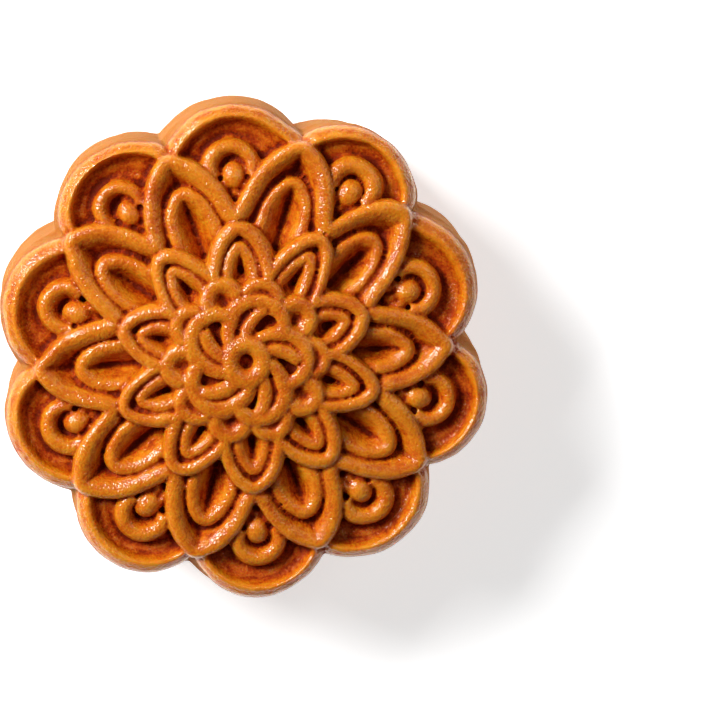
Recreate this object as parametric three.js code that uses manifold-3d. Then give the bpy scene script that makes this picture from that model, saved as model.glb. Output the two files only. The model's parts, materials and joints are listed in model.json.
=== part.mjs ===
// A round mooncake lying face up: a soft crust pressed in a carved mould and baked.
// The side is scalloped into ten lobes. The face is a flower in layers: an arch and a knob in
// each lobe, large, medium and small petals, and a swirled rosette round a ring.
// All of it is one solid piece.
// Millimetres, +Z up, origin in the middle of the flat base, one lobe pointing along +Y.
import * as THREE from 'three';
import { mergeVertices } from 'three/addons/utils/BufferGeometryUtils.js';
import Module from 'manifold-3d';

const wasm = await Module();
wasm.setup();

// Driving dimensions
const CAKE_HEIGHT = 35;
const LOBES = 10;
const SWIRLS = 5;
const LOBE_ARC_CENTRE = 28.2; // how far out each lobe's arc is centred
const LOBE_ARC_RADIUS = 11.8; // the cake is widest at 28.2 + 11.8 = 40
const SEGMENTS_PER_LOBE = 6;
const RIDGE_ROOT = 4.5; // how deep a ridge is let into the crust below its crest
const RIDGE_SHOULDER = 0.5; // how far a crest stands over its sides, for each unit of half width
const RING = { radius: 2.5, half: 1.3, segments: 14 };
const CRUST_COLOUR = '#b4651f';

// The side, the rim and the stepped floor of the face:
// height, radius at the tip of a lobe, depth of the notch between two lobes
const OUTLINE = [
  [0, 34.6, 4],
  [1.5, 37, 4.4],
  [4.6, 38.9, 4.9],
  [11, 39.8, 5.1],
  [24, 40, 5.2],
  [27.4, 39.6, 5.2],
  [28.6, 38.9, 5.1],
  [29.5, 37.8, 4.9],
  [27.2, 35.6, 4.8],
  [27, 31.5, 2],
  [28, 26, 0],
  [28.3, 19.5, 0],
  [29.9, 17.4, 0],
  [30.2, 13.3, 0],
  [32.3, 11.5, 0],
  [32.6, 0, 0],
];

// The ridges. half: from the crest line to the ridge's side.
// crest: its height, the radius where it has that height, and its rise for each millimetre
// towards the middle, since the face is domed.

// An arc of a circle centred this far out, reaching this many degrees to either side
const ARCH = { centre: 30.2, radius: 4, reach: 110, half: 1.2, crest: [29.9, 34.2, 0.12], steps: 5 };

// Pointed arches. tipToFoot is one half of the crest line: sideways, out from the middle.
const KNOB = {
  tipToFoot: [[0, 30.2], [1, 29.6], [1.4, 28.2], [1.6, 24.8]],
  half: 0.8,
  crest: [30.2, 29.7, 0.1],
  steps: 3,
};
const LARGE_PETAL = {
  tipToFoot: [[0, 33.5], [2.1, 32.3], [3.8, 30.5], [5, 28.4], [5.9, 25.6], [6.4, 23.2], [7, 21.2]],
  half: 1.1,
  crest: [30.9, 33.5, 0.12],
  steps: 7,
};
const LARGE_INNER = {
  tipToFoot: [[0, 27.2], [1.8, 26], [2.8, 24], [3.2, 21.9], [3.1, 19.4], [2.9, 17.4]],
  half: 1,
  crest: [31, 27, 0.1],
  steps: 5,
};
const MEDIUM_PETAL = {
  tipToFoot: [[0, 21.1], [1.8, 20.2], [3.2, 18.2], [4, 16.1], [4.4, 14], [4.5, 11.8]],
  half: 1.05,
  crest: [33, 21, 0.11],
  steps: 5,
};
const MEDIUM_INNER = {
  tipToFoot: [[0, 17.9], [1.2, 16.9], [2, 15.2], [2.3, 13.6], [2.4, 11.2]],
  half: 0.9,
  crest: [32.8, 18, 0.12],
  steps: 4,
};
const SMALL_PETAL = {
  tipToFoot: [[0, 12.8], [1.4, 12.3], [2.3, 11.2], [2.6, 9.8], [2.5, 8.2]],
  half: 1,
  crest: [34, 12.8, 0.04],
  steps: 4,
};

// Swirled strokes. turnAndReach is the crest line: degrees clockwise, out from the middle.
const SWIRL = {
  turnAndReach: [[-57, 4], [-47, 5.3], [-37, 6.6], [-24, 8.5], [-4, 9.7], [17, 9.5], [29, 8.4], [38, 7.4]],
  half: 1.3,
  crest: [34.5, 10, 0.03],
  steps: 7,
};
const SWIRL_INNER = {
  turnAndReach: [[-24, 3.6], [-14.6, 5.3], [-5, 7.1], [4, 8.6]],
  half: 1.1,
  crest: [34.45, 10, 0.03],
  steps: 4,
};

const LOBE_STEP = (2 * Math.PI) / LOBES;
const BETWEEN_LOBES = LOBE_STEP / 2;

function toSolid(geometry) {
  const bare = geometry.clone();
  bare.deleteAttribute('normal');
  bare.deleteAttribute('uv');
  const merged = mergeVertices(bare, 1e-5);
  const mesh = new wasm.Mesh({
    numProp: 3,
    vertProperties: merged.attributes.position.array,
    triVerts: new Uint32Array(merged.index.array),
  });
  return new wasm.Manifold(mesh);
}

function toGeometry(solid) {
  const { vertProperties, triVerts } = solid.getMesh();
  const geometry = new THREE.BufferGeometry();
  geometry.setAttribute('position', new THREE.BufferAttribute(vertProperties, 3));
  geometry.setIndex(new THREE.BufferAttribute(triVerts, 1));
  geometry.computeVertexNormals();
  return geometry;
}

// Copies of a shape turned round the cake, clockwise seen from above
function around(geometry, count, firstAngle) {
  return Array.from({ length: count }, (unused, i) => {
    return toSolid(geometry.clone().rotateZ(-(firstAngle + (i * 2 * Math.PI) / count)));
  });
}

// 0 at the tip of a lobe and 1 in the notch between two lobes
function notch(angle) {
  const offTip = Math.abs(((angle + 1.5 * LOBE_STEP + 2 * Math.PI) % LOBE_STEP) - BETWEEN_LOBES);
  const reach = (a) => {
    const side = LOBE_ARC_CENTRE * Math.sin(a);
    return LOBE_ARC_CENTRE * Math.cos(a) + Math.sqrt(LOBE_ARC_RADIUS ** 2 - side ** 2);
  };
  return (reach(0) - reach(offTip)) / (reach(0) - reach(BETWEEN_LOBES));
}

// A turned body whose side is then drawn in at the notches
function cakeBody() {
  const profile = [new THREE.Vector2(0, 0)];
  const depths = [0];
  for (const [height, radius, depth] of OUTLINE) {
    profile.push(new THREE.Vector2(radius, height));
    depths.push(depth);
  }
  const geometry = new THREE.LatheGeometry(profile, LOBES * SEGMENTS_PER_LOBE).rotateX(Math.PI / 2);
  const place = geometry.attributes.position;
  for (let i = 0; i < place.count; i += 1) {
    const x = place.getX(i);
    const y = place.getY(i);
    const radius = Math.hypot(x, y);
    if (radius > 0) {
      const shrink = 1 - (depths[i % profile.length] * notch(Math.atan2(x, y))) / radius;
      place.setXY(i, x * shrink, y * shrink);
    }
  }
  return geometry;
}

function middleRing() {
  const shoulder = CAKE_HEIGHT - RIDGE_SHOULDER * RING.half;
  const section = [
    new THREE.Vector2(RING.radius, CAKE_HEIGHT),
    new THREE.Vector2(RING.radius - RING.half, shoulder),
    new THREE.Vector2(RING.radius - RING.half, CAKE_HEIGHT - RIDGE_ROOT),
    new THREE.Vector2(RING.radius + RING.half, CAKE_HEIGHT - RIDGE_ROOT),
    new THREE.Vector2(RING.radius + RING.half, shoulder),
    new THREE.Vector2(RING.radius, CAKE_HEIGHT),
  ];
  return new THREE.LatheGeometry(section, RING.segments).rotateX(Math.PI / 2);
}

// A ridge along a crest line, built flat and then lifted onto the dome.
// The section's x runs down and its y to the side.
function ridge({ half, crest, steps }, line) {
  const section = new THREE.Shape([
    new THREE.Vector2(0, 0),
    new THREE.Vector2(RIDGE_SHOULDER * half, half),
    new THREE.Vector2(RIDGE_ROOT, half),
    new THREE.Vector2(RIDGE_ROOT, -half),
    new THREE.Vector2(RIDGE_SHOULDER * half, -half),
  ]);
  const path = new THREE.CatmullRomCurve3(line.map(([x, y]) => new THREE.Vector3(x, y, 0)));
  const geometry = new THREE.ExtrudeGeometry(section, { extrudePath: path, steps });
  const place = geometry.attributes.position;
  const [height, atRadius, rise] = crest;
  for (let i = 0; i < place.count; i += 1) {
    const inwards = atRadius - Math.hypot(place.getX(i), place.getY(i));
    place.setZ(i, place.getZ(i) + height + rise * inwards);
  }
  return geometry;
}

function roundRidge(kind) {
  const pieces = 8;
  const line = Array.from({ length: pieces + 1 }, (unused, i) => {
    const angle = THREE.MathUtils.degToRad(kind.reach * ((2 * i) / pieces - 1));
    return [kind.radius * Math.sin(angle), kind.centre + kind.radius * Math.cos(angle)];
  });
  return ridge(kind, line);
}

function pointedRidge(kind) {
  const otherHalf = kind.tipToFoot.slice(1).reverse();
  return ridge(kind, [...otherHalf.map(([x, y]) => [-x, y]), ...kind.tipToFoot]);
}

function swirledRidge(kind) {
  const line = kind.turnAndReach.map(([degrees, reach]) => {
    const angle = THREE.MathUtils.degToRad(degrees);
    return [reach * Math.sin(angle), reach * Math.cos(angle)];
  });
  return ridge(kind, line);
}

const solids = [
  toSolid(cakeBody()),
  ...around(roundRidge(ARCH), LOBES, 0),
  ...around(pointedRidge(KNOB), LOBES, 0),
  ...around(pointedRidge(LARGE_PETAL), LOBES, BETWEEN_LOBES),
  ...around(pointedRidge(LARGE_INNER), LOBES, BETWEEN_LOBES),
  ...around(pointedRidge(MEDIUM_PETAL), LOBES, 0),
  ...around(pointedRidge(MEDIUM_INNER), LOBES, 0),
  ...around(pointedRidge(SMALL_PETAL), LOBES, BETWEEN_LOBES),
  ...around(swirledRidge(SWIRL), SWIRLS, BETWEEN_LOBES),
  ...around(swirledRidge(SWIRL_INNER), SWIRLS, BETWEEN_LOBES),
  toSolid(middleRing()),
];

const crust = new THREE.MeshStandardMaterial({ color: CRUST_COLOUR, roughness: 0.35, metalness: 0 });
const mooncake = new THREE.Mesh(toGeometry(wasm.Manifold.union(solids)), crust);
mooncake.name = 'mooncake';

const cake = new THREE.Group();
cake.add(mooncake);

export default cake;
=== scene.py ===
# %% [markdown]
# A mooncake, modelled the way it is made.
#
# The baker presses soft dough round a ball of filling, pushes it into a carved wooden mould and
# knocks it out again. Every ridge of the face is dough that was squeezed into a groove of the
# mould, so ridges are round on top, their outer sides are steep, and where two meet the dough
# is one. The face is then brushed with egg and baked, which softens every edge a little more.
#
# So this lesson lays the ridges on a scalloped body one kind at a time, melts everything into one
# skin with a voxel remesh, as clay tools do, and then bakes colour and shine onto that skin.

# %% Load the frame
import json
import math
import random

import bpy
import numpy as np
from mathutils import Matrix, Vector

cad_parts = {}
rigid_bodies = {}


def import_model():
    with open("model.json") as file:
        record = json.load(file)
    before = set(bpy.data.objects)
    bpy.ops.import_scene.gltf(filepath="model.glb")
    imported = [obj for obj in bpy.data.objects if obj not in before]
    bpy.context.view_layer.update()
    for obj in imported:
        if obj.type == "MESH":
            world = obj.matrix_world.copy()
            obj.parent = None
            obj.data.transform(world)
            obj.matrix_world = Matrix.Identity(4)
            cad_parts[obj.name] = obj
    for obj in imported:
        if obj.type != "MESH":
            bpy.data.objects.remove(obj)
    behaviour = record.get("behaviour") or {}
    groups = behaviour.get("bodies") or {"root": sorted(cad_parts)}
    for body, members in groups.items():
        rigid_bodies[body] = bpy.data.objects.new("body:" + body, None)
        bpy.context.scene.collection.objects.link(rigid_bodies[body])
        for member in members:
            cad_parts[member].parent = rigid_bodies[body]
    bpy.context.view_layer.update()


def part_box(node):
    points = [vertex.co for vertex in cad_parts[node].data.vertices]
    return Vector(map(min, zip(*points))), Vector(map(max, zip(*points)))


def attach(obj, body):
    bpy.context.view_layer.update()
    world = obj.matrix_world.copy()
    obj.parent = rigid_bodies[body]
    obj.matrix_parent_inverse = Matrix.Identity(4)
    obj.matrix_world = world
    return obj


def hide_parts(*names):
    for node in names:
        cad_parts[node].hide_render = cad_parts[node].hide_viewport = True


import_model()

MM = 0.001
NODE = "mooncake"
low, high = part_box(NODE)
CAKE_HEIGHT = (high[2] - low[2]) / MM
CAKE_RADIUS = (high[1] - low[1]) / 2 / MM
print(f"the cake is {2 * CAKE_RADIUS:.1f} mm across and {CAKE_HEIGHT:.1f} mm high")

# %% [markdown]
# The camera comes first, because every shape is then judged through it. It looks down on the
# face almost straight, leaning a little towards the far side, so that a sliver of the side wall
# shows there. It is aimed to the right of the cake, which puts the cake at the left of the
# picture. A long lens from 650 mm away keeps the lobes the same size all round.

# %% Camera
PICTURE = 710
SENSOR = 36
DISTANCE = 650
LEAN = math.radians(9.4)  # away from straight above
LEAN_TOWARDS = math.radians(348)  # clockwise from +Y
ROLL = math.radians(-3.65)
PIXELS_PER_MM = 6.22
LOOK_HEIGHT = 29
CAKE_IN_PICTURE = (244.7, 353.4)  # the pixel where the middle of the face shows


def aim_camera():
    back = Vector((math.sin(LEAN) * math.sin(LEAN_TOWARDS),
                   math.sin(LEAN) * math.cos(LEAN_TOWARDS),
                   math.cos(LEAN)))
    up = (Vector((0, 1, 0)) - back * back.y).normalized()
    right = up.cross(back)
    right, up = (math.cos(ROLL) * right + math.sin(ROLL) * up,
                 math.cos(ROLL) * up - math.sin(ROLL) * right)
    middle = Vector((0, 0, LOOK_HEIGHT))
    place = middle + back * DISTANCE
    aside = (PICTURE / 2 - CAKE_IN_PICTURE[0]) / PIXELS_PER_MM
    above = (CAKE_IN_PICTURE[1] - PICTURE / 2) / PIXELS_PER_MM
    back = (place - (middle + right * aside + up * above)).normalized()
    right = up.cross(back).normalized()
    up = back.cross(right)
    turn = Matrix((right, up, back)).transposed().to_4x4()
    bpy.ops.object.camera_add()
    camera = bpy.context.object
    camera.matrix_world = Matrix.Translation(place * MM) @ turn
    camera.data.sensor_width = SENSOR
    camera.data.lens = PIXELS_PER_MM * DISTANCE * SENSOR / PICTURE
    bpy.context.scene.camera = camera
    print(f"lens {camera.data.lens:.0f} mm, {DISTANCE} mm from the face")


aim_camera()

# %% [markdown]
# A few helpers for working in edit mode without a window. An operator works on all that is
# selected, so each helper starts by selecting exactly what it is about.

# %% Helpers
SAME_PLACE = 0.01  # points closer together than this, in millimetres, are one


def pick(*pieces):
    """Leaves only these pieces selected, the last one active, in object mode."""
    if bpy.context.object and bpy.context.object.mode != "OBJECT":
        bpy.ops.object.mode_set(mode="OBJECT")
    bpy.ops.object.select_all(action="DESELECT")
    for piece in pieces:
        piece.select_set(True)
        bpy.context.view_layer.objects.active = piece


def edit_all(piece):
    """Opens the piece in edit mode with all of it selected."""
    pick(piece)
    bpy.ops.object.mode_set(mode="EDIT")
    bpy.ops.mesh.select_mode(type="VERT")
    bpy.ops.mesh.select_all(action="SELECT")


def remove(*pieces):
    pick(*pieces)
    bpy.ops.object.delete()


def open_edges(piece):
    """How many edges don't have exactly two faces. A closed skin has none."""
    sides = np.zeros(len(piece.data.edges), int)
    for face in piece.data.polygons:
        for loop in face.loop_indices:
            sides[piece.data.loops[loop].edge_index] += 1
    return int((sides != 2).sum())


# %% [markdown]
# The body starts from one lobe. A circle is cut down to the arc between two notches, and spin
# sets ten copies of it round the cake, so the outline is exact.

# %% Ten lobes
LOBES = 10
LOBE_STEP = math.radians(360 / LOBES)
HALF_STEP = LOBE_STEP / 2
LOBE_CENTRE = 28.2  # how far out the arc of each lobe is centred
LOBE_ARC = 11.8  # the radius of that arc
CIRCLE_POINTS = 96
WIDEST_HEIGHT = 24
WIDEST_REACH = 39.9


def widen(scale, height):
    """Resizes what is selected, sideways only, from the middle of the cake at a height."""
    bpy.ops.transform.resize(value=(scale, scale, 1), center_override=(0, 0, height * MM))


def spin_lobes():
    """The outline of the cake where it is widest, all selected in edit mode."""
    pick()
    bpy.ops.mesh.primitive_circle_add(vertices=CIRCLE_POINTS, radius=LOBE_ARC * MM,
                                      location=(0, LOBE_CENTRE * MM, WIDEST_HEIGHT * MM))
    outline = bpy.context.object
    outline.name = "body"
    bpy.ops.object.transform_apply()
    for side in (-1, 1):
        edit_all(outline)
        across = (side * math.cos(HALF_STEP), -math.sin(HALF_STEP), 0)
        bpy.ops.mesh.bisect(plane_co=(0, 0, 0), plane_no=across, clear_outer=True)
    edit_all(outline)
    bpy.ops.mesh.bisect(plane_co=(0, LOBE_CENTRE * MM, 0), plane_no=(0, 1, 0), clear_inner=True)
    edit_all(outline)
    bpy.ops.mesh.spin(steps=LOBES, dupli=True, angle=2 * math.pi, center=(0, 0, 0), axis=(0, 0, 1))
    edit_all(outline)
    bpy.ops.mesh.remove_doubles(threshold=SAME_PLACE * MM)
    widen(WIDEST_REACH / (LOBE_CENTRE + LOBE_ARC), WIDEST_HEIGHT)
    return outline


body = spin_lobes()

# %% [markdown]
# The outline is then extruded ring by ring. It first goes up over the shoulder, in steps, to the
# floors between the ridges, which rise towards the middle, because the face is domed. Then it
# goes down the side to the rounded foot. Soft dough sags, so the cake is widest a little below
# the rim, and its lobes are softer there.

# %% Body
# height, reach at the tips of the lobes
FLOORS = [(27.4, 39.6), (27.4, 38.2), (27.5, 36), (27.8, 33.5), (28.2, 30.8), (28.3, 26),
          (28.6, 19.5), (30.1, 17.4), (30.5, 13.8), (32.7, 12), (32.8, 2)]
# height, reach at the tips, how much further the lobes soften towards a circle
SIDE = [(20, 39.75, 0), (11, 39.7, 0.01), (6.5, 39.3, 0.02), (3.6, 38.4, 0.04), (1.5, 36.9, 0.08),
        (0.35, 35.2, 0.1), (0, 33.8, 0.1)]
BELLY_SOFT = 0.26  # how far the lobes sag towards a circle where the cake is widest
BELLY_SWELL = 1.016  # and how much they swell there


def next_ring(ring, height, reach, soften=0.0):
    """Extrudes the selected ring to a height and resizes it to a reach at the lobes' tips."""
    old_height, old_reach = ring
    bpy.ops.mesh.extrude_edges_move(
        TRANSFORM_OT_translate={"value": (0, 0, (height - old_height) * MM)})
    widen(reach / old_reach, height)
    if soften:
        bpy.ops.transform.tosphere(value=soften, center_override=(0, 0, height * MM))
    return height, reach


def select_widest(piece):
    """Opens the piece in edit mode with only its widest ring selected."""
    pick(piece)
    for vertex in piece.data.vertices:
        vertex.select = abs(vertex.co.z - WIDEST_HEIGHT * MM) < SAME_PLACE * MM
    for edge in piece.data.edges:
        edge.select = all(piece.data.vertices[i].select for i in edge.vertices)
    for face in piece.data.polygons:
        face.select = False
    bpy.ops.object.mode_set(mode="EDIT")


def build_body():
    ring = (WIDEST_HEIGHT, WIDEST_REACH)
    for height, reach in FLOORS:
        ring = next_ring(ring, height, reach)
    bpy.ops.mesh.edge_face_add()
    select_widest(body)
    bpy.ops.transform.tosphere(value=BELLY_SOFT, center_override=(0, 0, WIDEST_HEIGHT * MM))
    widen(BELLY_SWELL, WIDEST_HEIGHT)
    ring = (WIDEST_HEIGHT, WIDEST_REACH)
    for height, reach, soften in SIDE:
        ring = next_ring(ring, height, reach, soften)
    bpy.ops.mesh.edge_face_add()
    edit_all(body)
    bpy.ops.mesh.normals_make_consistent(inside=False)
    pick(body)


build_body()
print(f"body: {len(body.data.polygons)} faces, {open_edges(body)} open edges")

# %% [markdown]
# A ridge isn't a round cord. The mould was carved with a gouge, so a ridge has a steep outer
# side, a round crest close to it, and a long slope that runs down inwards like the side of a
# dish, until it meets the next ridge in a narrow groove. Each kind of ridge has its own section,
# drawn once with x pointing inwards and y up from the crest, and swept along its crest lines.

# %% Ridge sections
SECTIONS = {
    "rim": [(-1.9, -2.6), (-1.65, -1.8), (-1.35, -1.2), (-0.95, -0.74), (-0.7, -0.62), (-0.5, -0.38),
            (-0.22, -0.08), (0, 0), (0.3, -0.14), (0.6, -0.55), (0.9, -1.05), (1.3, -1.5), (1.9, -1.75),
            (2.6, -1.85), (3.6, -2)],
    "arch": [(-1.35, -2.2), (-1.2, -1.1), (-0.75, -0.3), (0, 0), (0.5, -0.05), (0.95, -0.3),
             (1.4, -0.8), (1.9, -1.4), (2.5, -2.1)],
    "large": [(-1.15, -2.6), (-1, -1.1), (-0.6, -0.28), (0, 0), (0.6, -0.05), (1.25, -0.3),
              (1.85, -0.8), (2.4, -1.45), (2.9, -2.05), (3.4, -2.45), (4, -2.75), (4.6, -3)],
    "large_inner": [(-1.15, -2.2), (-1, -0.9), (-0.55, -0.22), (0, 0), (0.5, -0.03), (0.95, -0.22),
                    (1.4, -0.65), (1.85, -1.25), (2.3, -1.9), (2.8, -2.5), (3.3, -3)],
    "medium": [(-1.2, -2.4), (-1.05, -1), (-0.6, -0.25), (0, 0), (0.5, -0.03), (0.95, -0.25),
               (1.35, -0.8), (1.75, -1.55), (2.2, -2.3), (2.6, -3)],
    "medium_inner": [(-1.15, -2), (-1, -0.75), (-0.5, -0.16), (0, 0), (0.5, -0.03), (0.95, -0.24),
                     (1.35, -0.75), (1.7, -1.4), (2, -2.1), (2.3, -3)],
    "small": [(-1.25, -2), (-1.1, -0.95), (-0.65, -0.25), (0, 0), (0.6, -0.03), (1.2, -0.2),
              (1.7, -0.5), (2.3, -0.85), (3.2, -1.15)],
    "swirl": [(-1.7, -2.1), (-1.5, -0.85), (-0.85, -0.22), (0, 0), (0.85, -0.15), (1.35, -0.6),
              (1.55, -1.9)],
    "stroke": [(-1.45, -1.9), (-1.25, -0.65), (-0.7, -0.14), (0, 0), (0.7, -0.14), (1.2, -0.65),
               (1.35, -1.9)],
    "stem": [(-1.05, -1.3), (-0.65, -0.3), (0, 0), (0.65, -0.3), (1.05, -1.3)],
}
ROOT = -5.5  # how far a ridge reaches down into the body
ROOT_WIDER = 0.1  # how much further than its section it reaches to each side down there
CURVE_STEPS = 6  # straight pieces between two points of a curve


def draw_curve(name, points, closed=False, corners=False):
    """A Bezier curve through points in millimetres, as drawn with the pen.

    A fourth number is the curve's radius there, which swells or thins what is swept along it."""
    pick()
    bpy.ops.curve.primitive_bezier_curve_add(location=(0, 0, 0))
    curve = bpy.context.object
    curve.name = name
    spline = curve.data.splines[0]
    spline.bezier_points.add(len(points) - 2)
    for knot, point in zip(spline.bezier_points, points):
        knot.co = Vector(point[:3]) * MM
        knot.radius = point[3] if len(point) > 3 else 1
        knot.handle_left_type = knot.handle_right_type = "VECTOR" if corners else "AUTO"
    spline.use_cyclic_u = closed
    spline.resolution_u = 1 if corners else CURVE_STEPS
    return curve


def draw_section(name):
    points = SECTIONS[name]
    outline = [(points[0][0] - ROOT_WIDER, ROOT)] + points + [(points[-1][0] + ROOT_WIDER, ROOT)]
    section = draw_curve("section_" + name, [(x, y, 0) for x, y in outline], closed=True, corners=True)
    section.data.dimensions = "2D"
    return section


sections = {name: draw_section(name) for name in SECTIONS}
print(f"{len(sections)} sections drawn")

# %% [markdown]
# The sweep is a curve's own bevel, which keeps the section upright along the whole line. It is
# then converted to a mesh, whose seams are merged and whose ends are capped, so that the remesh
# later on finds a closed body.

# %% Sweep


def sweep(name, path, section):
    """A ridge: the section carried along the path and kept upright, then made a closed mesh."""
    curve = draw_curve(name, path)
    curve.data.bevel_mode = "OBJECT"
    curve.data.bevel_object = section
    curve.data.twist_mode = "Z_UP"
    curve.data.use_fill_caps = True
    pick(curve)
    bpy.ops.object.convert(target="MESH")
    edit_all(curve)
    bpy.ops.mesh.remove_doubles(threshold=SAME_PLACE * MM)
    bpy.ops.mesh.normals_make_consistent(inside=False)
    pick(curve)
    return curve


# %% [markdown]
# Each kind of ridge is modelled once, pointing along +Y, and then copied round the cake. Dough
# never copies the mould exactly, so each copy is nudged, turned and sized a little differently.
# The inner half of the pattern also sits a little nearer the front, since the mould was pressed
# down slightly off the middle.

# %% Copies round the cake
UNEVEN = random.Random(11)
NUDGE = 0.22  # millimetres
TURN = 0.8  # degrees
SIZE = 0.03  # as a share of its width
OFF_MIDDLE = (0.05, -0.55)


def around(piece, count, first_angle, off=(0, 0)):
    """Copies of the piece, clockwise from +Y. The piece itself is used up."""
    copies = []
    for i in range(count):
        pick(piece)
        bpy.ops.object.duplicate(linked=False)
        copy = bpy.context.object
        edit_all(copy)
        size = 1 + UNEVEN.uniform(-SIZE, SIZE)
        bpy.ops.transform.resize(value=(size, 1, 1), center_override=(0, 0, 0))
        turn = first_angle + i * 2 * math.pi / count + math.radians(UNEVEN.uniform(-TURN, TURN))
        bpy.ops.transform.rotate(value=turn, orient_axis="Z", center_override=(0, 0, 0))
        aside = off[0] + UNEVEN.uniform(-NUDGE, NUDGE)
        forwards = off[1] + UNEVEN.uniform(-NUDGE, NUDGE)
        bpy.ops.transform.translate(value=(aside * MM, forwards * MM, 0))
        pick(copy)
        copies.append(copy)
    remove(piece)
    return copies


# %% [markdown]
# Crest lines. One half of a pointed arch is a few points from its tip to its foot, sideways and
# out from the middle, and the other half mirrors it. The face is domed, so a crest rises
# towards the middle. The strokes of the rosette are given by degrees clockwise, by distance from
# the middle, and by how full the stroke is there.

# %% Crest lines
STROKES = 5


def dome(points, height, at_reach, rise):
    """Gives flat points the height of the dome. What follows x and y is kept."""
    return [(x, y, height + rise * (at_reach - math.hypot(x, y)), *more) for x, y, *more in points]


def pointed(tip_to_foot):
    """The whole arch, from its left foot over the tip to its right foot."""
    left = [(-x, y) for x, y in reversed(tip_to_foot[1:])]
    return left + tip_to_foot


def arc(centre, radius, reach, pieces=8):
    """An arc round a centre on the Y axis, reaching so many degrees to either side."""
    angles = [math.radians(reach * (2 * i / pieces - 1)) for i in range(pieces + 1)]
    return [(radius * math.sin(a), centre + radius * math.cos(a)) for a in angles]


def swirled(stroke):
    """The line of a stroke from its degrees, reaches and fullness."""
    turned = [(math.radians(degrees), reach, full) for degrees, reach, full in stroke]
    return [(reach * math.sin(turn), reach * math.cos(turn), full) for turn, reach, full in turned]


RIM = arc(LOBE_CENTRE, 10.3, 70)
ARCH = arc(30.3, 3.6, 112)
LARGE = pointed([(0, 33.5), (2.1, 32.3), (3.8, 30.5), (5, 28.4), (5.9, 25.6), (6.4, 23.2), (7, 21.2)])
LARGE_INNER = pointed([(0, 27.6), (2, 26.3), (3.1, 24.2), (3.5, 21.9), (3.4, 19.4), (3.2, 17.2)])
MEDIUM = pointed([(0, 21.1), (1.8, 20.2), (3.2, 18.2), (4, 16.1), (4.4, 14), (4.5, 11.8)])
MEDIUM_INNER = pointed([(0, 18.1), (1.3, 17), (2.15, 15.2), (2.45, 13.6), (2.5, 11.2)])
SMALL = pointed([(0, 13.1), (1.5, 12.6), (2.5, 11.4), (2.8, 9.9), (2.7, 8.2)])
SWIRL = swirled([(-68, 2.6, 0.6), (-57, 4, 0.7), (-47, 5.3, 0.8), (-37, 6.6, 0.95), (-24, 8.5, 1.15),
                 (-4, 9.7, 1.05), (17, 9.5, 1), (29, 8.4, 0.85), (38, 7.4, 0.6)])
STROKE = swirled([(-34, 2.4, 0.7), (-24, 3.6, 0.85), (-14.6, 5.3, 1), (-5, 7.1, 1), (4, 8.6, 0.9)])

# name and section, crest line, how many, first angle, how far off the middle
RIDGES = [
    ("rim", dome(RIM, 29.5, 37.8, 0.05), LOBES, 0, (0, 0)),
    ("arch", dome(ARCH, 29.9, 34.2, 0.12), LOBES, 0, (0, 0)),
    ("large", dome(LARGE, 30.9, 33.5, 0.12), LOBES, HALF_STEP, (0, 0)),
    ("large_inner", dome(LARGE_INNER, 31, 27, 0.1), LOBES, HALF_STEP, (0, -0.2)),
    ("medium", dome(MEDIUM, 33, 21, 0.11), LOBES, 0, OFF_MIDDLE),
    ("medium_inner", dome(MEDIUM_INNER, 32.8, 18, 0.12), LOBES, 0, OFF_MIDDLE),
    ("small", dome(SMALL, 34, 13.1, 0.04), LOBES, HALF_STEP, OFF_MIDDLE),
    ("swirl", dome(SWIRL, 34.5, 10, 0.03), STROKES, HALF_STEP, OFF_MIDDLE),
    ("stroke", dome(STROKE, 34.45, 10, 0.03), STROKES, HALF_STEP, OFF_MIDDLE),
]

# %% Ridges of the face


def make_ridges():
    ridges = []
    for name, line, count, first, off in RIDGES:
        ridge = sweep(name, line, sections[name])
        print(f"{name}: {count} ridges, {open_edges(ridge)} open edges each")
        ridges += around(ridge, count, first, off)
    return ridges


ridges = make_ridges()

# %% [markdown]
# Inside each arch sits a knob, like a drop hanging from two short stems that run into the large
# petals on either side. The head is a sphere, a lower and longer one makes its tail, and a wide
# one, almost sunk, is the swell of the floor that they grow from. The stems are swept like
# ridges.

# %% Knobs
# where a sphere is, its radius, how much longer it is than wide
KNOB = [((0.1, 28.9, 28.6), 2.2, 1.15), ((0.2, 26.6, 28.3), 1.75, 1.5), ((0, 28.4, 25.3), 4.1, 1)]
KNOB_SEGMENTS = 24
KNOB_RINGS = 16
STEM = [(1.8, 24.2), (1.55, 26.8), (1.2, 28.4)]  # from the foot to the head
STEM_CREST = (30, 29.7, 0.12)  # its height, the reach where it has that height, and its rise inwards


def make_knobs():
    parts = []
    for place, radius, stretch in KNOB:
        pick()
        bpy.ops.mesh.primitive_uv_sphere_add(segments=KNOB_SEGMENTS, ring_count=KNOB_RINGS,
                                             radius=radius * MM, location=Vector(place) * MM)
        bpy.ops.object.transform_apply()
        parts.append(bpy.context.object)
        edit_all(parts[-1])
        bpy.ops.transform.resize(value=(1, stretch, 1), center_override=Vector(place) * MM)
        pick(parts[-1])
    mirrored = [(-x, y) for x, y in reversed(STEM)]
    for name, line in (("stem_right", STEM), ("stem_left", mirrored)):
        parts.append(sweep(name, dome(line, *STEM_CREST), sections["stem"]))
    pick(*parts)
    bpy.ops.object.join()
    knob = bpy.context.object
    print(f"knob: {open_edges(knob)} open edges")
    return around(knob, LOBES, 0)


knobs = make_knobs()

# %% [markdown]
# The ring in the middle of the rosette is plain, so it is a torus, sunk until its top is at the
# full height of the cake. Dough isn't exact, so it is stretched a little out of round.

# %% Ring
RING_RADIUS = 2.7
RING_THICK = 1.65
RING_STRETCH = 1.12
RING_SEGMENTS = 48
RING_SIDES = 20


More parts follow.
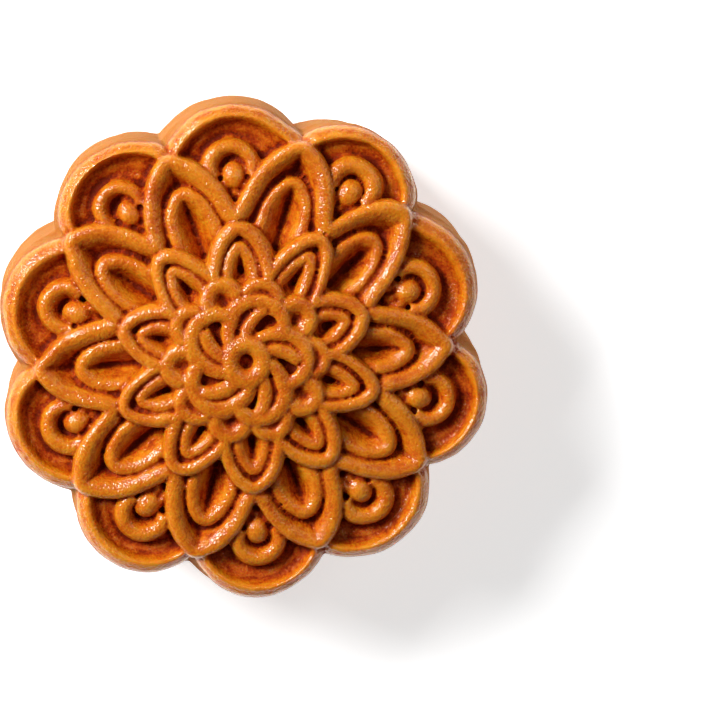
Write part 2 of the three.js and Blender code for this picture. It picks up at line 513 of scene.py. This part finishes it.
def make_ring():
    pick()
    bpy.ops.mesh.primitive_torus_add(
        major_radius=RING_RADIUS * MM, minor_radius=RING_THICK * MM, major_segments=RING_SEGMENTS,
        minor_segments=RING_SIDES, location=Vector((*OFF_MIDDLE, CAKE_HEIGHT - RING_THICK)) * MM)
    ring = bpy.context.object
    bpy.ops.object.transform_apply()
    edit_all(ring)
    bpy.ops.transform.resize(value=(1, RING_STRETCH, 1), center_override=Vector((*OFF_MIDDLE, 0)) * MM)
    pick(ring)
    print(f"ring: {open_edges(ring)} open edges")
    return ring


ring = make_ring()

# %% [markdown]
# Now the pieces become one dough. They are joined. No cake comes out of the oven quite round, so
# a few lobes are pushed out or in, with proportional editing.

# %% One piece, a little out of round
# which lobe, clockwise from +Y, and how far it is pushed outwards
LOBE_PUSHES = [(1, 1.5), (2, -1.2), (8, -1.2), (9, 0.3)]
LOBE_CORE = 8  # this far round the middle of a lobe's arc all moves as one
LOBE_FADE = 9  # over which the push fades out


def places_of(piece):
    """Where the vertices are, in millimetres, and which two each edge joins."""
    places = np.empty(len(piece.data.vertices) * 3)
    piece.data.vertices.foreach_get("co", places)
    ends = np.empty(len(piece.data.edges) * 2, int)
    piece.data.edges.foreach_get("vertices", ends)
    return places.reshape(-1, 3) / MM, ends.reshape(-1, 2)


def push_lobe(piece, lobe, push):
    """Moves one lobe outwards. What lies round it follows less and less."""
    out = Vector((math.sin(lobe * LOBE_STEP), math.cos(lobe * LOBE_STEP), 0))
    places, _ = places_of(piece)
    core = np.hypot(*(places - np.array(out) * LOBE_CENTRE)[:, :2].T) < LOBE_CORE
    for elements in (piece.data.edges, piece.data.polygons):
        elements.foreach_set("select", [False] * len(elements))
    piece.data.vertices.foreach_set("select", core)
    bpy.ops.object.mode_set(mode="EDIT")
    bpy.ops.transform.translate(value=out * push * MM, use_proportional_edit=True,
                                proportional_edit_falloff="SMOOTH", proportional_size=LOBE_FADE * MM)
    pick(piece)


def join_dough():
    pick(*ridges, *knobs, ring, body)
    bpy.ops.object.join()
    joined = bpy.context.object
    joined.name = "baked_cake"
    for lobe, push in LOBE_PUSHES:
        push_lobe(joined, lobe, push)
    return joined


cake = join_dough()
remove(*sections.values())
print(f"joined: {len(cake.data.polygons)} faces")

# %% [markdown]
# A voxel remesh draws one closed skin round all of them, which also fills every hair-thin gap.
# Smoothing then rounds the edges as baking does.

# %% One skin
VOXEL = 0.27
HALFWAY = 0.5  # one round of smoothing moves a point this far towards the middle of its neighbours
ROUNDING = 3


def apply(piece, kind, **settings):
    """Adds a modifier and applies it."""
    pick(piece)
    modifier = piece.modifiers.new(kind.lower(), kind)
    for name, value in settings.items():
        setattr(modifier, name, value)
    bpy.ops.object.modifier_apply(modifier=modifier.name)


apply(cake, "REMESH", mode="VOXEL", voxel_size=VOXEL * MM)
apply(cake, "SMOOTH", factor=HALFWAY, iterations=ROUNDING)
print(f"remeshed: {len(cake.data.polygons)} faces")

# %% [markdown]
# Smoothing rounds the creases too, so those are pressed in again. The skin is compared with a
# smoother copy of its own heights, which shows the creases as what lies below the copy. A hole
# that lies deep below its wide surroundings needs no pressing, and nor does the side. What is
# found goes into a vertex group, because a modifier acts only as far as its group says.

# %% Where the creases are
CREASE_ROUNDS = 18  # how far round a point its surroundings are averaged
CREASE_FULL = 0.22  # this far below the surroundings a crease is pressed in fully
PIT_ROUNDS = 180
PIT_DEPTH = 2.2  # what lies this far below its wide surroundings is deep enough already
FADE = 1  # the height over which the pressing fades out, at a pit and below the floors
LOWEST_FLOOR = min(height for height, reach in FLOORS)
BASE_STAYS_FLAT = 3  # the slump fades in over this height above the base


def smoothed(values, ends, rounds):
    """Averages a value with its neighbours along the edges of the mesh, over and over."""
    count = np.bincount(ends.ravel(), minlength=len(values))
    for _ in range(rounds):
        total = np.bincount(ends[:, 0], weights=values[ends[:, 1]], minlength=len(values))
        total += np.bincount(ends[:, 1], weights=values[ends[:, 0]], minlength=len(values))
        values = (1 - HALFWAY) * values + HALFWAY * total / count
    return values


def add_group(piece, name, weights):
    group = piece.vertex_groups.new(name=name)
    for index in np.flatnonzero(weights > 0):
        group.add([int(index)], float(weights[index]), "REPLACE")
    print(f"{name}: {np.count_nonzero(weights)} of {len(weights)} points")


def add_groups(piece):
    places, ends = places_of(piece)
    height = places[:, 2]
    below = smoothed(height, ends, CREASE_ROUNDS) - height
    depth = smoothed(height, ends, PIT_ROUNDS) - height
    on_face = np.clip((height - LOWEST_FLOOR) / FADE + 1, 0, 1)
    not_a_pit = np.clip((PIT_DEPTH - depth) / FADE, 0, 1)
    add_group(piece, "creases", np.clip(below / CREASE_FULL, 0, 1) * on_face * not_a_pit)
    add_group(piece, "above_base", np.clip(height / BASE_STAYS_FLAT, 0, 1))


add_groups(cake)

# %% [markdown]
# The creases are pushed in along their normals. Then two soft noises, one as wide as a petal and
# one as wide as a ridge, make the dough slump a little unevenly. The base stays flat, because the
# cake was baked lying on it.

# %% Creases and slump
CREASE_DEPTH = 0.55
# each noise, how wide its bumps are, and how deep
SLUMPS = [("slump", 14, 0.9), ("dimples", 4, 0.3)]


def soft_noise(name, size):
    noise = bpy.data.textures.new(name, "CLOUDS")
    noise.noise_scale = size * MM
    noise.noise_depth = 1
    return noise


apply(cake, "DISPLACE", strength=-CREASE_DEPTH * MM, mid_level=0, vertex_group="creases")
apply(cake, "SMOOTH", factor=HALFWAY, iterations=1)
for name, size, depth in SLUMPS:
    apply(cake, "DISPLACE", texture=soft_noise(name, size), texture_coords="LOCAL", strength=depth * MM,
          mid_level=0.5, vertex_group="above_base")
cake.vertex_groups.clear()
print(f"slumped: now {places_of(cake)[0][:, 2].max():.1f} mm high")

# %% [markdown]
# The skin now has far more faces than its shape needs. Decimating takes them away where the crust
# is smooth and leaves them along the creases.

# %% Fewer triangles
TRIANGLES = 190000


def triangles(piece):
    piece.data.calc_loop_triangles()
    return len(piece.data.loop_triangles)


apply(cake, "DECIMATE", ratio=TRIANGLES / triangles(cake))
bpy.ops.object.shade_smooth()
print(f"finished: {triangles(cake)} triangles, {open_edges(cake)} open edges")

# %% [markdown]
# The colour of the crust follows its relief. The crests are paler, partly because the brush wipes
# them nearly dry and partly as painted light. The hollows and creases are darker, partly because
# egg gathers there and bakes to a deep red brown and partly as painted shade. So three numbers are
# measured on the finished skin and kept as attributes for the material to read: how far each
# point lies above or below its wide surroundings, how far above or below the points next to it,
# and whether it was brushed with egg at all. The surroundings are found by smoothing the heights
# along the edges of the mesh, many times for the wide ones.

# %% What the material reads
BRUSHED_FROM = 27.5  # the egg brush reaches down to this height on the rim
BRUSH_EDGE = 0.35  # over which the glaze fades out
FACE_REACH = 0.965  # inside this share of the outline everything is face, however low it lies
FACE_EDGE = 0.01  # the share over which that fades out
FACE_DEPTH = 5  # nothing of the face lies further than this below the egg on the rim
BEVEL_REACH = 0.945  # outside this share lies the bevel of the rim, which is coloured paler
BEVEL_EDGE = 0.015
BEVEL_PALER = 0.6
BROAD = 160  # rounds of smoothing for the wide surroundings
FINE = 10  # and for the near ones


def outline_reach(angle):
    """How far the scalloped outline is from the middle, in this direction."""
    off_tip = np.abs((angle + HALF_STEP) % LOBE_STEP - HALF_STEP)
    aside = LOBE_CENTRE * np.sin(off_tip)
    return LOBE_CENTRE * np.cos(off_tip) + np.sqrt(LOBE_ARC ** 2 - aside ** 2)


def keep(piece, name, values):
    attribute = piece.data.attributes.new(name, "FLOAT", "POINT")
    attribute.data.foreach_set("value", values.astype(np.float32))
    print(f"{name}: from {values.min():.2f} to {values.max():.2f}")


def measure(piece):
    places, ends = places_of(piece)
    x, y, z = places.T
    reach = np.hypot(x, y) / outline_reach(np.arctan2(x, y))
    on_top = np.clip((z - BRUSHED_FROM) / BRUSH_EDGE + 0.5, 0, 1)
    inside = np.clip((FACE_REACH - reach) / FACE_EDGE + 0.5, 0, 1) * (z > BRUSHED_FROM - FACE_DEPTH)
    bevel = np.clip((reach - BEVEL_REACH) / BEVEL_EDGE, 0, 1)
    # relief: what lies below its wide surroundings comes out darker, partly pooled egg and partly
    # painted shade
    keep(piece, "relief", z - smoothed(z, ends, BROAD) + BEVEL_PALER * bevel)
    # ridge: creases come out darker as painted shade, and crests paler, partly as painted light
    keep(piece, "ridge", smoothed(z, ends, 1) - smoothed(z, ends, FINE))
    keep(piece, "glaze", np.maximum(on_top, inside))


measure(cake)

# %% [markdown]
# One small function adds a shader node, sets it up and links it, and another turns a colour as
# seen on a screen into the linear colour that the shader works with.

# %% Material helpers


def linear(colour):
    """The linear colour of an sRGB hex value."""
    shares = [int(colour[i:i + 2], 16) / 255 for i in (1, 3, 5)]
    return (*[s / 12.92 if s <= 0.04045 else ((s + 0.055) / 1.055) ** 2.4 for s in shares], 1)


def node(tree, kind, links=None, values=None, ramp=None, **settings):
    """Adds a node, with its settings, the values of its sockets and what is linked to them.

    A colour ramp is also given its places and colours."""
    made = tree.nodes.new("ShaderNode" + kind)
    for name, value in settings.items():
        setattr(made, name, value)
    if ramp:
        while len(made.color_ramp.elements) < len(ramp):
            made.color_ramp.elements.new(0.5)
        for element, (place, colour) in zip(made.color_ramp.elements, ramp):
            element.position = place
            element.color = linear(colour)
    for socket, value in (values or {}).items():
        made.inputs[socket].default_value = value
    for socket, source in (links or {}).items():
        tree.links.new(source, made.inputs[socket])
    return made


# %% [markdown]
# Baked crust is never one colour. It has blotches where the oven was hotter, freckles where the
# syrup caught, and pimples all over, where tiny bubbles dried. Their sizes are real ones, and the
# pimples are a little coarser than the finest on a real crust, so that they show.

# %% Blotches, freckles and pimples
# how wide in millimetres, how rough the noise is, how much paler or darker the spots are baked
SPOTS = {"blotch": (4, 3, 0.1), "freckle": (1.1, 3, 0.09), "pimple": (0.42, 1, 0.1)}
NOISE_RANGE = (0.3, 0.7)  # nearly all of a noise lies between these
PIMPLE_DEPTH = 0.17
FRECKLE_DEPTH = 0.08


def add_spots(tree, place):
    """The noises, and the shades that they give the crust, by the names of the spots."""
    noises, shades = {}, {}
    for name, (size, detail, strength) in SPOTS.items():
        noise = node(tree, "TexNoise", {"Vector": place}, {"Scale": 1 / (size * MM), "Detail": detail})
        shade = node(tree, "MapRange", {"Value": noise.outputs["Fac"]},
                     {"From Min": NOISE_RANGE[0], "From Max": NOISE_RANGE[1],
                      "To Min": -strength, "To Max": strength})
        noises[name] = noise.outputs["Fac"]
        shades[name] = shade.outputs["Result"]
    return noises, shades


def bumpy(tree, noises):
    """The direction of the skin, with its freckles and pimples."""
    pimples = node(tree, "Bump", {"Height": noises["pimple"]},
                   {"Strength": 1, "Distance": PIMPLE_DEPTH * MM})
    skin = node(tree, "Bump", {"Height": noises["freckle"], "Normal": pimples.outputs["Normal"]},
                {"Strength": 1, "Distance": FRECKLE_DEPTH * MM})
    return skin.outputs["Normal"]


# %% [markdown]
# The face goes from a deep red brown in the hollows to gold on the crests, partly as egg that
# baked darker where it pooled and paler where it was thin, and partly as painted shade in the
# hollows and creases and painted light on the crests. The side wasn't brushed: it is a plain matt
# tan, darker round the foot, where it touched the hot tray. Where the egg ends, it leaves a thin
# dark line.

# %% Colours of the crust
# the dark end of these colours is partly pooled egg and partly painted shade in the hollows
FACE_COLOURS = [(0.0, "#701a00"), (0.2, "#a03400"), (0.42, "#c45c04"), (0.66, "#d87e0e"),
                (1.0, "#e49624")]
SIDE_COLOURS = [(0.0, "#84441c"), (0.35, "#a46026"), (1.0, "#b06a28")]
EGG_LINE = "#9c4a18"
# how much of that line shows, as the glaze goes from none to full
LINE_SHOWS = [(0.0, "#000000"), (0.3, "#c0c0c0"), (0.6, "#c0c0c0"), (1.0, "#000000")]
HOLLOW_TO_CREST = (-5, 2.4)  # relief in millimetres, from the darkest crust, partly painted shade, to the palest
SHARPEST = 0.25  # ridge in millimetres, of the sharpest creases and crests
# creases are painted darker as shade; crests are made paler, partly thinner egg and partly painted
# light
CREASE_PAINTED_SHADE = 0.65
CREST_PALER = 0.2
TRAY_TO_BELLY = (0.5, 9)  # heights between which the side is darker towards the tray


def bake_and_shade_face(tree, shades):
    """How pale the face comes out, from 0 in the hollows, partly painted shade, to 1 on the crests, and
    its colour.
    """
    relief = node(tree, "Attribute", attribute_name="relief")
    ridge = node(tree, "Attribute", attribute_name="ridge")
    height = node(tree, "MapRange", {"Value": relief.outputs["Fac"]},
                  {"From Min": HOLLOW_TO_CREST[0], "From Max": HOLLOW_TO_CREST[1]})
    # painted shade in the creases, and paler crests
    crease_shade_and_crest = node(tree, "MapRange", {"Value": ridge.outputs["Fac"]},
                 {"From Min": -SHARPEST, "From Max": SHARPEST,
                  "To Min": -CREASE_PAINTED_SHADE, "To Max": CREST_PALER})
    # the relief, the painted crease shade and crest light, and the spots add up to how pale the face
    # comes out
    baked_and_shaded = height.outputs["Result"]
    for shade in (crease_shade_and_crest.outputs["Result"], *shades.values()):
        baked_and_shaded = node(tree, "Math", {0: baked_and_shaded, 1: shade}, operation="ADD").outputs[0]
    return baked_and_shaded, node(tree, "ValToRGB", {"Fac": baked_and_shaded}, ramp=FACE_COLOURS).outputs["Color"]


def bake_side(tree, place, patchy):
    """The colour of the side."""
    upright = node(tree, "SeparateXYZ", {"Vector": place}).outputs["Z"]
    above_tray = node(tree, "MapRange", {"Value": upright},
                      {"From Min": TRAY_TO_BELLY[0] * MM, "From Max": TRAY_TO_BELLY[1] * MM})
    browned = node(tree, "Math", {0: above_tray.outputs["Result"], 1: patchy}, operation="ADD")
    return node(tree, "ValToRGB", {"Fac": browned.outputs[0]}, ramp=SIDE_COLOURS).outputs["Color"]


# %% [markdown]
# The crust is a wheat dough with golden syrup, baked, with egg yolk brushed on the face. Baked
# dough scatters light just under its surface, so its shadows glow a little red. The dried egg is
# a thin clear coat over it, as shiny as varnish but pimply, which breaks its highlights up into
# dots. In the deep hollows the egg soaked in, so the coat fades out there.

# %% Egg-glazed baked crust
WET_FROM = (0.25, 0.55)  # how pale the face comes out, painted shade included, where the coat begins, and where it is full
FACE_ROUGHNESS = 0.5
SIDE_ROUGHNESS = 0.7
EGG = {"Coat Roughness": 0.15, "Coat IOR": 1.52}
DOUGH = {
    "IOR": 1.45,
    "Specular IOR Level": 0.12,
    "Subsurface Weight": 0.7,
    "Subsurface Scale": MM,
    "Subsurface Radius": (1.5, 0.4, 0.12),  # how many millimetres red, green and blue light travels
}


def make_crust():
    material = bpy.data.materials.new("egg_glazed_baked_crust")
    material.use_nodes = True
    tree = material.node_tree
    shader = tree.nodes["Principled BSDF"]
    place = node(tree, "TexCoord").outputs["Object"]
    glaze = node(tree, "Attribute", attribute_name="glaze").outputs["Fac"]
    noises, shades = add_spots(tree, place)

    baked_and_shaded, face = bake_and_shade_face(tree, shades)
    side = bake_side(tree, place, shades["blotch"])
    crust = node(tree, "Mix", {"Factor": glaze, "A": side, "B": face}, data_type="RGBA")
    line = node(tree, "ValToRGB", {"Fac": glaze}, ramp=LINE_SHOWS)
    colour = node(tree, "Mix", {"Factor": line.outputs["Color"], "A": crust.outputs["Result"]},
                  {"B": linear(EGG_LINE)}, data_type="RGBA")

    wet = node(tree, "MapRange", {"Value": baked_and_shaded}, {"From Min": WET_FROM[0], "From Max": WET_FROM[1]})
    coat = node(tree, "Math", {0: glaze, 1: wet.outputs["Result"]}, operation="MULTIPLY").outputs[0]
    roughness = node(tree, "MapRange", {"Value": coat},
                     {"To Min": SIDE_ROUGHNESS, "To Max": FACE_ROUGHNESS})

    skin = bumpy(tree, noises)
    varied = {"Base Color": colour.outputs["Result"], "Roughness": roughness.outputs["Result"],
              "Coat Weight": coat, "Normal": skin, "Coat Normal": skin}
    for socket, source in varied.items():
        tree.links.new(source, shader.inputs[socket])
    for socket, value in (EGG | DOUGH).items():
        shader.inputs[socket].default_value = value
    return material


cake.data.materials.clear()
cake.data.materials.append(make_crust())
print("crust:", cake.data.materials[0].name)

# %% The cake stands in for its part
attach(cake, "root")
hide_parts(NODE)

# %% [markdown]
# The stage is a plain white light table, whose glow keeps the cake's shadow on it faint.

# %% Floor
FLOOR_SIZE = 6000
FLOOR_COLOUR = "#f3f3f3"
FLOOR_ROUGHNESS = 0.9
WHITE = "#ffffff"
TABLE_GLOW = 0.6


def make_floor():
    pick()
    bpy.ops.mesh.primitive_plane_add(size=FLOOR_SIZE * MM, location=(0, 0, 0))
    floor = bpy.context.object
    floor.name = "floor"
    material = bpy.data.materials.new("frosted_white_acrylic")
    material.use_nodes = True
    acrylic = material.node_tree.nodes["Principled BSDF"]
    acrylic.inputs["Base Color"].default_value = linear(FLOOR_COLOUR)
    acrylic.inputs["Roughness"].default_value = FLOOR_ROUGHNESS
    acrylic.inputs["Emission Color"].default_value = linear(WHITE)
    acrylic.inputs["Emission Strength"].default_value = TABLE_GLOW
    floor.data.materials.append(material)
    print(f"floor: {FLOOR_SIZE} mm square")


make_floor()

# %% [markdown]
# One large softbox at the upper left draws the streaks of light along the glazed crests, and a
# weak one stands opposite. The surroundings are white low down and dark overhead, so that the
# hollows, which look straight up, stay deep.

# %% Lights
KEY = ("key", (-980, 790, 980), 600, 36)  # name, place, size, power
FILL = ("fill", (840, 500, 1200), 800, 2.5)
SURROUNDINGS = 0.14
OVERHEAD = 0.04
DARKENING = (0.2, 0.9)  # how steeply up the surroundings start and stop darkening: 1 is straight up


def softbox(name, place, size, power):
    bpy.ops.object.light_add(type="AREA", location=Vector(place) * MM)
    lamp = bpy.context.object
    lamp.name = name
    lamp.data.size = size * MM
    lamp.data.energy = power
    towards_cake = Vector((0, 0, LOOK_HEIGHT)) - Vector(place)
    lamp.rotation_euler = towards_cake.to_track_quat("-Z", "Y").to_euler()
    print(f"{name}: {size} mm wide, {towards_cake.length:.0f} mm away")


def make_surroundings():
    world = bpy.data.worlds.new("studio")
    bpy.context.scene.world = world
    world.use_nodes = True
    tree = world.node_tree
    direction = node(tree, "SeparateXYZ", {"Vector": node(tree, "TexCoord").outputs["Generated"]})
    light = node(tree, "MapRange", {"Value": direction.outputs["Z"]},
                 {"From Min": DARKENING[0], "From Max": DARKENING[1],
                  "To Min": SURROUNDINGS, "To Max": OVERHEAD})
    background = tree.nodes["Background"]
    tree.links.new(light.outputs["Result"], background.inputs["Strength"])
    background.inputs["Color"].default_value = linear(WHITE)
    bpy.context.scene.view_settings.view_transform = "Standard"


softbox(*KEY)
softbox(*FILL)
make_surroundings()
